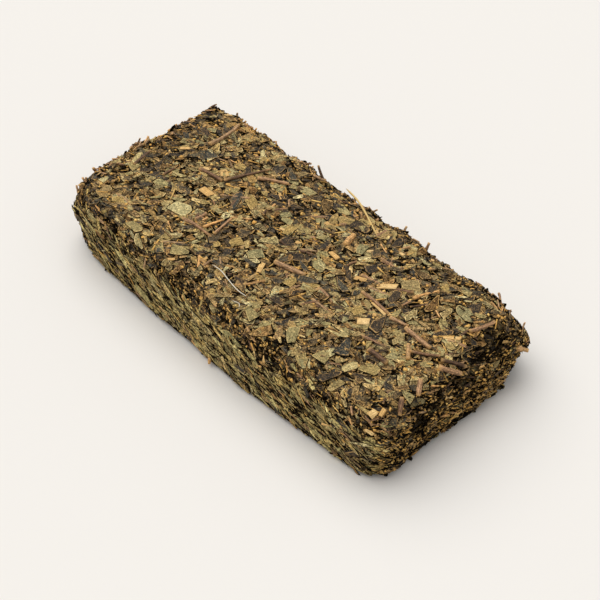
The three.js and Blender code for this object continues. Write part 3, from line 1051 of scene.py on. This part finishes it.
stem_wood = wood_finish(
    "stem",
    (
        (0.0, srgb(88, 66, 48)),
        (0.2, srgb(126, 94, 68)),
        (0.4, srgb(178, 138, 100)),
        (0.7, srgb(160, 130, 94)),
        (1.0, srgb(234, 178, 110)),
    ),
    srgb(240, 192, 122),
    0.5,
    gloss=0.25,
)
pale_wood = wood_finish(
    "pale_chip",
    ((0.0, srgb(196, 148, 88)), (0.5, srgb(226, 182, 116)), (1.0, srgb(246, 218, 162))),
    srgb(226, 184, 118),
    0.6,
)
golden_wood = wood_finish(
    "golden_crumb",
    (
        (0.0, srgb(192, 142, 68)),
        (0.4, srgb(244, 190, 92)),
        (0.75, srgb(255, 222, 136)),
        (1.0, srgb(222, 156, 60)),
    ),
    srgb(232, 184, 108),
    0.55,
)
print("wood finishes:", stem_wood.name, pale_wood.name, golden_wood.name)

# %% [markdown]
# These pieces go between the scraps and into the worn places, where crumbs are thickest. Slits and
# slivers of near-black lie flush with the leaf, as painted shadow in the gaps between its layers. The
# far end and the back rim are broken, so there bits of stem and leaf stand up, with splits of painted
# shadow among them.

# %% Strew the stems, splinters, chips and crumbs
STEM = {"length": (5, 15), "slimness": (0.1, 0.17), "thickness": None, "bend": 0.01}
SPLINTER = {"length": (1.4, 7.5), "slimness": (0.08, 0.17), "thickness": 0.35, "bend": 0.02}
SLIT = {"length": (3.0, 9.0), "slimness": (0.08, 0.17), "thickness": 0.3, "bend": 0.01}
GAP = {"length": (1.5, 5.5), "slimness": (0.1, 0.22), "thickness": 0.3, "bend": 0.02}
CHIP = {"length": (2.2, 5.5), "slimness": (0.3, 0.55), "thickness": 0.9, "bend": 0.0}
CRUMB = {"length": (0.5, 2.2), "slimness": (0.35, 0.9), "thickness": 0.6, "bend": 0.0}
ROUGH = {
    "length": (2.5, 9.0), "slimness": (0.16, 0.3), "thickness": None, "bend": 0.015,
    "steep": math.radians(14), "rim": 0.97,
}
TORN = {
    "length": (2.5, 7.0), "slimness": (0.35, 0.8), "thickness": 0.35, "bend": 0.04,
    "steep": math.radians(18), "rim": 0.97,
}
SPLIT = {"length": (2.0, 7.0), "slimness": (0.1, 0.24), "thickness": 0.3, "bend": 0.02, "rim": 0.97}
scatter("stems", stem_moulds, spread(1.0, 2.5, 0.6, 1.3, 0.5), stem_wood, (0.0, 0.5), STEM)
scatter("dark_slits", thin_moulds, spread(0, 10, 36, 0), tea_dust_and_shade, (-0.2, 0.05), SLIT)
scatter("dark_slivers", thin_moulds, spread(12, 18, 16, 36), tea_dust_and_shade, (-0.15, 0.1), GAP)
scatter(
    "splinters", splinter_moulds, spread(12, 24, 10, 44), golden_wood,
    (-0.15, 0.9), SPLINTER,
)
scatter("pale_chips", chip_moulds, spread(0.35, 0.4, 0.1, 0.5), pale_wood, (0.0, 0.4), CHIP)
scatter("brown_crumbs", crumb_moulds, spread(2, 18, 3, 14), brown, (-0.1, 0.7), CRUMB)
scatter(
    "golden_crumbs", crumb_moulds, spread(10, 24, 4, 40), golden_wood,
    (-0.15, 0.9), CRUMB,
)
scatter("black_crumbs", crumb_moulds, spread(3, 26, 2, 40), tea_dust_and_shade, (-0.1, 0.5), CRUMB)
scatter("dark_crumbs", crumb_moulds, spread(11, 32, 10, 24), dark, (-0.1, 0.7), CRUMB)
scatter("rough_bits", stem_moulds, spread(7, 8, 0.5, 4.5, 0), stem_wood, (-0.9, 0.3), ROUGH)
scatter("leaf_bits", scrap_moulds, spread(7, 7, 0.3, 2, 0), brown, (-0.8, 0.2), TORN)
scatter("rim_splits", thin_moulds, spread(16, 16, 0, 4), tea_dust_and_shade, (-0.5, 0.0), SPLIT)

# %% [markdown]
# Some pieces are large enough to tell apart: twigs, wood chips, broad leaves and dark flakes. Each is
# laid on the top, by its middle, its heading in degrees, its length and width, and its tint.

# %% Lay the large pieces one by one
TWIGS = (
    (48, 3, -4, 15.9, 1.6, 0.3), (62, 2, 14, 8.5, 1.7, 0.5), (73, 1, -3, 14.2, 2.2, 0.45),
    (81, -3, 35, 11.7, 1.2, 0.2), (94, -2, 38, 9.7, 2.6, 0.35), (92, 2, 39, 10.8, 1.7, 0.0),
    (91, -17, -49, 7.0, 2.2, 0.4), (93, -29, -44, 7.3, 2.2, 0.2), (87, 24, 74, 12.0, 1.9, 0.35),
    (69, -17, 0, 10.0, 2.6, 0.1), (10, -9, 15, 14.9, 2.4, 0.5), (-34, 23, 30, 14.1, 1.8, 0.4),
    (-56, 6, 8, 12.9, 2.0, 0.2), (-45, 17, 66, 21.5, 1.3, 0.1), (-71, 28, 93, 18.7, 2.2, 0.6),
    (-36, -20, 5, 18.3, 1.7, 0.3), (-32, -14, 75, 9.0, 1.3, 1.0), (-28, -12, 100, 11.7, 1.4, 0.4),
    (15, 21, 105, 7.0, 3.0, 0.9),
)
CHIPS = (
    (-53, 11, -35, 3.9, 3.5, 0.6), (-49, -3, 2, 5.7, 3.4, 0.3), (1, -17, 119, 5.5, 2.3, 0.6),
    (45, 13, 46, 7.3, 2.6, 0.9), (52, -8, 46, 4.4, 3.3, 1.0), (17, 10, -4, 4.9, 2.1, 0.4),
    (66, -27, 72, 3.3, 3.0, 0.5), (82, 11, 40, 6.3, 1.6, 0.6), (52, 2, -6, 8.4, 2.5, 0.8),
    (88, -39, 82, 2.9, 2.7, 0.9), (90, -36, 111, 3.3, 1.6, 0.3),
)
BROAD_LEAVES = (
    (-49, -18, 32, 10.6, 8.7, 1.0), (37, -33, 118, 11.3, 5.9, 0.6), (54, -32, 84, 7.7, 6.9, 0.3),
    (71, -24, 40, 8.5, 6.2, 0.5), (-66, -4, 46, 6.6, 4.6, 0.9), (51, 21, 32, 9.8, 6.8, 0.15),
    (22, 21, 96, 7.6, 5.2, 0.7), (-6, -13, 46, 8.9, 6.7, 0.7), (16, 3, -4, 8.3, 4.2, 1.0),
    (16, -13, 80, 7.9, 4.4, 0.4), (24, -11, 46, 5.7, 4.0, 0.5), (76, 25, 1, 7.9, 5.7, 0.7),
    (85, 8, 46, 5.5, 4.2, 0.5), (46, -5, 60, 6.6, 5.5, 0.4), (-29, -35, 21, 10.0, 6.0, 0.3),
    (77, 24, 169, 10.0, 4.0, 0.7), (68, -39, 69, 8.5, 3.9, 0.2), (-17, -14, 54, 7.2, 6.0, 0.4),
    (85, -40, 27, 9.0, 3.6, 0.8), (-31, 7, 149, 9.5, 5.5, 0.4), (65, -29, 83, 7.9, 4.3, 0.9),
    (-54, -39, 11, 8.5, 4.6, 0.3), (-7, 7, 88, 7.9, 4.8, 0.4), (48, -39, 175, 9.5, 3.2, 0.2),
    (17, -37, 153, 9.6, 4.9, 0.3), (-71, -33, 27, 8.8, 4.6, 0.4), (49, -20, 33, 8.9, 3.5, 0.9),
)
DARK_FLAKES = (
    (78, 31, 83, 9.2, 7.2, 0.3), (57, -4, 98, 12.0, 6.1, 0.4), (51, 11, 107, 10.5, 5.1, 0.4),
    (78, 10, 61, 12.0, 3.7, 0.2), (57, -23, 102, 10.7, 6.9, 0.6), (63, -38, 52, 11.6, 4.1, 0.2),
    (-25, -18, 82, 12.0, 5.0, 0.8), (-36, 3, 131, 12.2, 6.0, 0.6), (28, 7, 140, 13.0, 4.6, 0.3),
    (20, -8, 17, 11.6, 5.4, 0.7), (72, -29, 24, 11.1, 3.9, 0.3), (34, 16, 56, 8.8, 5.9, 0.2),
    (64, 1, 169, 11.0, 3.3, 0.4), (58, 26, 103, 8.9, 3.2, 0.4), (6, -16, 7, 8.5, 4.7, 0.7),
    (68, -19, 13, 7.4, 2.7, 0.4), (19, -25, 10, 8.8, 4.0, 0.3), (-4, -34, 174, 9.9, 2.7, 0.3),
    (40, -9, 49, 10.8, 2.4, 0.4), (45, -12, 49, 6.1, 4.9, 0.4), (-19, -8, 149, 6.9, 4.1, 0.8),
    (-5, -18, 173, 10.5, 3.0, 0.7), (-2, 1, 15, 9.0, 7.0, 0.4), (8, -1, 40, 9.0, 6.0, 0.3),
    (-58, -9, 3, 12.0, 4.9, 0.8), (-66, 14, 30, 10.0, 7.0, 0.7), (-38, 30, 60, 9.0, 7.0, 0.5),
    (12, 30, 20, 10.0, 6.0, 0.3), (30, 34, 80, 9.0, 5.0, 0.2),
)
SHEET = 32.0  # millimetres up, where the places above were measured


def on_top(places):
    """The spot and the normal of the skin that the camera sees through each place on a sheet that
    touches the top of the slab."""
    upper = np.flatnonzero(skin_normals[:, 2] > 0.2)
    heights = skin[:, 2] + relief(skin, skin_normals) * skin_normals[:, 2]
    view = np.array(direction(CAMERA_AZIMUTH, CAMERA_ELEVATION))
    seen = places.copy()
    for _ in range(6):
        square = ((seen[:, None] - skin[upper][None, :, :2]) ** 2).sum(2)
        nearest = upper[square.argmin(1)]
        drop = SHEET - heights[nearest]
        seen = places - drop[:, None] * view[:2] / view[2]
    return np.concatenate([seen, skin[nearest, 2:]], 1), skin_normals[nearest]


def lay_by_hand(name, moulds, rows, material, thickness=None, depth=0.0, bend=0.0):
    rows = np.array(rows, float)
    spots, normals = on_top(rows[:, :2])
    heading = np.radians(rows[:, 2])
    way = np.stack([np.cos(heading), np.sin(heading), 0 * heading], 1)
    across = unit(np.cross(normals, way))
    frames = np.stack([np.cross(across, normals), across, normals], 1)
    thick = rows[:, 4] * ROUND if thickness is None else np.full(len(rows), thickness)
    sizes = np.stack([rows[:, 3], rows[:, 4], thick], 1)
    seats = spots + normals * (relief(spots, normals) - depth)[:, None]
    bends = draw.normal(size=(len(rows), 3)) * bend
    painted_shade = np.zeros(len(rows))
    return join_copies(
        name, moulds, seats, frames, sizes, bends, painted_shade, material,
        tints=rows[:, 5], pressed=False,
    )


lay_by_hand("twigs", stem_moulds, TWIGS, stem_wood, depth=-0.7, bend=0.007)
lay_by_hand("wood_chips", chip_moulds, CHIPS, pale_wood, thickness=1.0)
lay_by_hand(
    "broad_leaves", broad_moulds, BROAD_LEAVES, broad,
    thickness=0.35, depth=-0.3, bend=0.006,
)
lay_by_hand(
    "dark_flakes", scrap_moulds, DARK_FLAKES, dark,
    thickness=0.35, depth=-0.1, bend=0.006,
)

# %% [markdown]
# A few loose ends stand out past the skin, and make the outline ragged. Each has a foot, a way it
# points, a length, a width and a tint.

# %% Stick out the loose ends
LOOSE_ENDS = (
    ((97, 35, 19), (1, 0.45, 0.1), 7, 2.2, 0.8),
    ((-95, -27, 27), (-0.2, -0.3, 0.9), 6, 1.6, 0.3),
    ((-94, -34, 26), (-0.5, -0.2, 0.8), 5, 1.4, 0.5),
    ((-92, -38, 26), (-0.3, -0.1, 0.8), 5, 1.7, 0.75),
    ((25, -46, 2.5), (0.25, -1, -0.05), 5.5, 2.2, 1.0),
    ((0, -47, 2.5), (0.9, -0.5, 0), 9, 1.8, 0.9),
    ((-22, 41.5, 28.5), (-0.73, 0.21, 0.64), 8, 1.2, 0.0),
    ((38, 43, 26), (0.1, 0.5, 0.85), 6, 1.6, 0.3),
)


def stick_out(rows):
    feet, ways = (np.array([row[k] for row in rows], float) for k in (0, 1))
    length, width, tint = (np.array([row[k] for row in rows], float) for k in (2, 3, 4))
    along = unit(ways)
    across = unit(np.cross(along, [0.1, 0.2, 1]))
    frames = np.stack([along, across, np.cross(along, across)], 1)
    middle = feet + [SHIFT] + along * (length / 2 - width)[:, None]
    bends = draw.normal(size=(len(rows), 3)) * 0.02
    sizes = np.stack([length, width, width], 1)
    painted_shade = np.zeros(len(rows))
    return join_copies(
        "loose_ends", stem_moulds, middle, frames, sizes, bends, painted_shade, stem_wood,
        tints=tint, pressed=False,
    )


stick_out(LOOSE_ENDS)

# %% [markdown]
# Four fibres lie on the top: a white hair, a straw that stands off the back edge, a golden splinter
# and a shorter hair. Each is a thin tube through a few places that tapers at both ends, with a width,
# its lift over the skin at its start, middle and end, and a tint.

# %% Lay the fibres
FIBRES = (
    (
        ((-14.2, -30.3), (-8.4, -30.1), (-2.4, -31.8), (4.7, -33.0), (10.3, -32.2)),
        0.5, (0.3, 0.9, 0.3), 1.0,
    ),
    (((-7.1, 42.7), (2.8, 40.3), (22.3, 30.6)), 1.0, (3.4, 2.0, 0.3), 0.5),
    (((-60.3, -11.1), (-58.0, -14.0), (-56.1, -17.5)), 0.6, (0.3, 0.7, 0.3), 0.4),
    (((7.0, -38.0), (10.5, -37.0), (12.5, -39.5)), 0.35, (0.2, 0.6, 0.2), 1.0),
)
FIBRE_SIDES = 6
FIBRE_STEPS = 4  # between two places


def fibre_finish():
    finish = Finish("straw")
    tint = finish.attribute("tint")
    tones = ((0.4, srgb(226, 186, 110)), (0.5, srgb(232, 200, 130)), (1.0, srgb(236, 230, 212)))
    grain = finish.noise(0.001, 2.0)
    colour = finish.mix(grain * 0.3, finish.ramp(tint, tones), srgb(150, 120, 70))
    return finish.surface(colour, 0.5, gloss=0.2)


def fibre_arrays(places, width, lift):
    """A tube through places on the top. Its lift over the skin is given at three places."""
    spots, normals = on_top(np.array(places, float))
    knots = spots + normals * relief(spots, normals)[:, None]
    count = FIBRE_STEPS * (len(places) - 1) + 1
    share = np.linspace(0, 1, count)
    line = np.stack([np.interp(share, np.linspace(0, 1, len(knots)), k) for k in knots.T], 1)
    for _ in range(2):
        line[1:-1] = (line[:-2] + 2 * line[1:-1] + line[2:]) / 4
    line[:, 2] += np.interp(share, (0, 0.5, 1), lift)
    along = unit(np.gradient(line, axis=0))
    across = unit(np.cross(along, [0, 0, 1.0]))
    up = np.cross(across, along)
    radius = width / 2 * (1 - 0.75 * np.abs(2 * share - 1) ** 6)
    turn = 2 * np.pi * np.arange(FIBRE_SIDES) / FIBRE_SIDES
    ring = np.cos(turn)[:, None] * across[:, None] + np.sin(turn)[:, None] * up[:, None]
    points = (line[:, None] + ring * radius[:, None, None]).reshape(-1, 3)
    faces = []
    for row in range(count - 1):
        for side in range(FIBRE_SIDES):
            a, b = row * FIBRE_SIDES + side, row * FIBRE_SIDES + (side + 1) % FIBRE_SIDES
            faces += [(a, b, b + FIBRE_SIDES), (a, b + FIBRE_SIDES, a + FIBRE_SIDES)]
    last = (count - 1) * FIBRE_SIDES
    for side in range(1, FIBRE_SIDES - 1):
        faces += [(0, side + 1, side), (last, last + side, last + side + 1)]
    return points, np.array(faces)


def lay_fibres():
    points, faces, tint, start = [], [], [], 0
    for places, width, lift, shade in FIBRES:
        own_points, own_faces = fibre_arrays(places, width, lift)
        points.append(own_points)
        faces.append(own_faces + start)
        tint.append(np.full(len(own_points), shade))
        start += len(own_points)
    points, faces, tint = (np.concatenate(part) for part in (points, faces, tint))
    mesh = write_mesh("fibres", points, faces, points[:, :2], tint=tint)
    mesh.materials.append(fibre_finish())
    piece = bpy.data.objects.new("fibres", mesh)
    bpy.context.scene.collection.objects.link(piece)
    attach(piece, "root")
    TALLY["fibres"] = len(mesh.polygons)
    return piece


fibres = lay_fibres()
print("fibres:", len(FIBRES), "triangles:", TALLY["fibres"])

# %% Finish
total = 2 * len(core.data.polygons) + sum(TALLY.values())
print("triangles in all:", total)
